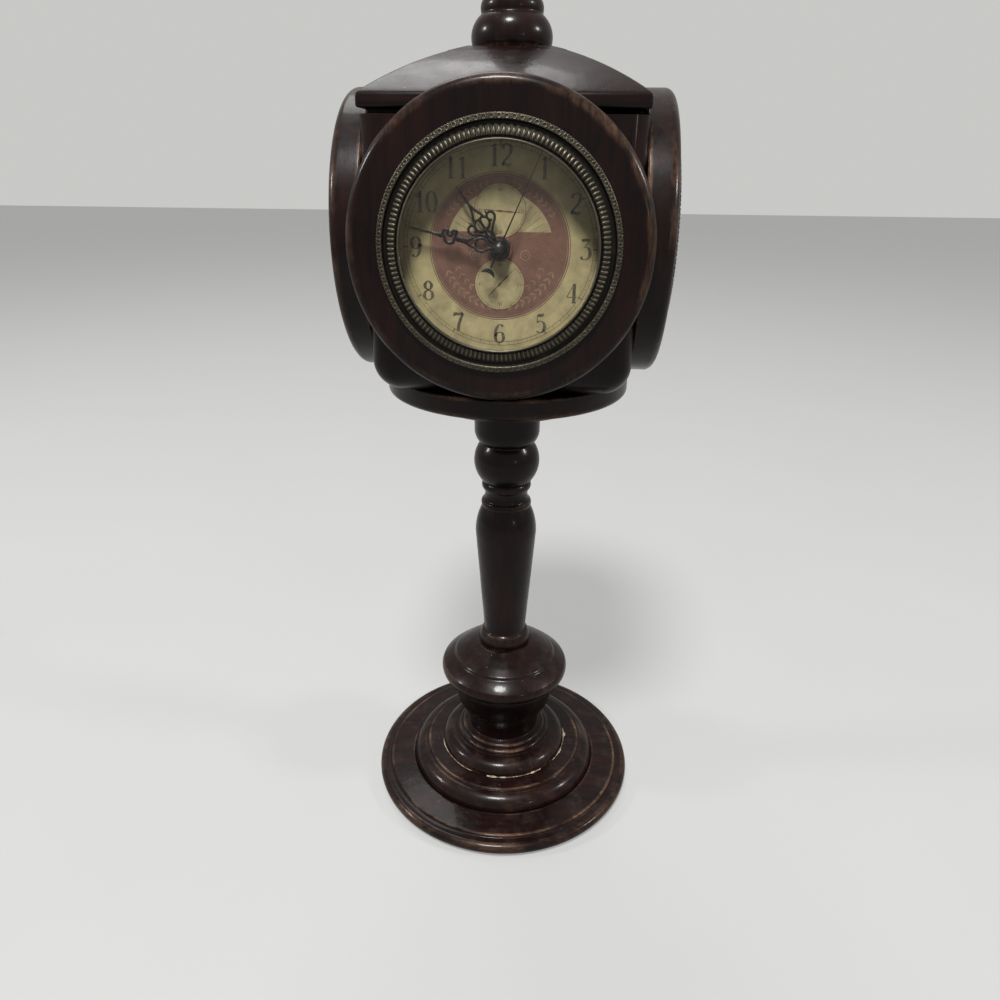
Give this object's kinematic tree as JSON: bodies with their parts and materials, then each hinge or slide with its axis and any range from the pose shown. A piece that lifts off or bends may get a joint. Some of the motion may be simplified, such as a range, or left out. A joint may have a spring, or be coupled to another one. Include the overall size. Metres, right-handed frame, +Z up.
{
  "type": "four-sided desk clock",
  "caption": "Free-standing wooden desk clock on a turned baluster stand: a revolving square head with a curved roof carries push-in time, moon-phase and weather dials.",
  "frame": {"origin": "centre of the underside of the felt pad", "axes": "+Z up along the stand's axis, -Y out of the clock dial, +X out of the moon dial"},
  "size_m": [0.159, 0.1589, 0.457],
  "materials": {
    "wood": "very dark mahogany stain under satin lacquer, worn brown along edges",
    "pale_wood": "unstained beech",
    "felt": "dark green felt",
    "steel": "zinc plated",
    "slip_washer": "black slip washer",
    "bronze": "antique bronze plating, pale and worn on the ribs",
    "glass": "flat clear glass",
    "clock_face": "printed cream dial with a burgundy middle",
    "weather_face": "printed cream dial",
    "moon_face": "printed cream dial with an arched window",
    "night_sky": "dark blue disc with two pale moons",
    "can": "black moulded can",
    "rubber": "ribbed rubber band",
    "movement": "black moulded case",
    "battery": "plain grey sleeve",
    "bright_brass": "plain brass",
    "black_hand": "black enamel",
    "knob": "moulded setting knob"
  },
  "bodies": {
    "stand": {"base_felt": "felt", "base_plinth": "wood", "base_screw": "steel", "pedestal_urn": "wood", "column_dowel": "pale_wood", "column": "wood", "swivel_plate": "wood", "plate_screws": "steel", "thrust_washer": "slip_washer", "pivot_stud": "steel", "pivot_washer": "steel", "pivot_nut": "steel"},
    "head": {"head_collar": "wood", "collar_screws": "steel", "head_case": "wood", "ring_front": "wood", "ring_right": "wood", "ring_back": "wood", "ring_left": "wood", "roof_cap": "wood", "finial": "wood", "finial_dowel": "pale_wood"},
    "clock_insert": {"clock_bezel": "bronze", "clock_lens": "glass", "clock_dial": "clock_face", "clock_can": "can", "clock_band": "rubber", "clock_movement": "movement", "clock_battery": "battery", "clock_nut": "bright_brass"},
    "moon_insert": {"moon_bezel": "bronze", "moon_lens": "glass", "moon_dial": "moon_face", "moon_can": "can", "moon_band": "rubber", "moon_movement": "movement", "moon_battery": "battery"},
    "temperature_insert": {"temperature_bezel": "bronze", "temperature_lens": "glass", "temperature_dial": "weather_face", "temperature_can": "can", "temperature_band": "rubber", "temperature_coil": "bright_brass"},
    "humidity_insert": {"humidity_bezel": "bronze", "humidity_lens": "glass", "humidity_dial": "weather_face", "humidity_can": "can", "humidity_band": "rubber", "humidity_coil": "bright_brass"},
    "hour_hand": {"hour_hand": "black_hand"},
    "minute_hand": {"minute_hand": "black_hand"},
    "second_hand": {"second_hand": "black_hand"},
    "clock_knob": {"clock_knob": "knob"},
    "moon_disc": {"moon_disc": "night_sky"},
    "moon_hand": {"moon_hand": "black_hand"},
    "moon_knob": {"moon_knob": "knob"},
    "temperature_pointer": {"temperature_pointer": "black_hand"},
    "humidity_pointer": {"humidity_pointer": "black_hand"}
  },
  "joints": [
    {"name": "head_turn", "type": "hinge", "parent": "stand", "child": "head", "pos_m": [0, 0, 0.248], "axis": [0, 0, 1], "continuous": true},
    {"name": "clock_pull", "type": "slide", "parent": "head", "child": "clock_insert", "axis": [0, -1, 0], "range_m": [0, 0.03]},
    {"name": "moon_pull", "type": "slide", "parent": "head", "child": "moon_insert", "axis": [1, 0, 0], "range_m": [0, 0.03]},
    {"name": "humidity_pull", "type": "slide", "parent": "head", "child": "humidity_insert", "axis": [0, 1, 0], "range_m": [0, 0.03]},
    {"name": "temperature_pull", "type": "slide", "parent": "head", "child": "temperature_insert", "axis": [-1, 0, 0], "range_m": [0, 0.03]},
    {"name": "minute_hand_turn", "type": "hinge", "parent": "clock_insert", "child": "minute_hand", "pos_m": [0, -0.0714, 0.3268], "axis": [0, 1, 0], "continuous": true},
    {"name": "hour_hand_turn", "type": "hinge", "parent": "clock_insert", "child": "hour_hand", "pos_m": [0, -0.0714, 0.3268], "axis": [0, 1, 0], "continuous": true},
    {"name": "clock_knob_turn", "type": "hinge", "parent": "clock_insert", "child": "clock_knob", "pos_m": [0, -0.0714, 0.3358], "axis": [0, 1, 0], "continuous": true},
    {"name": "second_hand_turn", "type": "hinge", "parent": "clock_insert", "child": "second_hand", "pos_m": [0, -0.0714, 0.3268], "axis": [0, 1, 0], "continuous": true},
    {"name": "moon_disc_turn", "type": "hinge", "parent": "moon_insert", "child": "moon_disc", "pos_m": [0.0714, 0, 0.3268], "axis": [-1, 0, 0], "continuous": true},
    {"name": "moon_hand_turn", "type": "hinge", "parent": "moon_insert", "child": "moon_hand", "pos_m": [0.0714, 0, 0.3268], "axis": [-1, 0, 0], "continuous": true},
    {"name": "moon_knob_turn", "type": "hinge", "parent": "moon_insert", "child": "moon_knob", "pos_m": [0.0714, 0, 0.3358], "axis": [-1, 0, 0], "continuous": true},
    {"name": "temperature_pointer_turn", "type": "hinge", "parent": "temperature_insert", "child": "temperature_pointer", "pos_m": [-0.0714, 0, 0.3268], "axis": [1, 0, 0], "range_deg": [-140.6, 99.4]},
    {"name": "humidity_pointer_turn", "type": "hinge", "parent": "humidity_insert", "child": "humidity_pointer", "pos_m": [0, 0.0714, 0.3268], "axis": [0, -1, 0], "range_deg": [-148.5, 121.5]}
  ],
  "couplings": [
    {"joint": "hour_hand_turn", "follows": "minute_hand_turn", "ratio": 0.083333},
    {"joint": "clock_knob_turn", "follows": "minute_hand_turn", "ratio": -1},
    {"joint": "moon_hand_turn", "follows": "moon_disc_turn", "ratio": 2},
    {"joint": "moon_knob_turn", "follows": "moon_disc_turn", "ratio": -2}
  ]
}
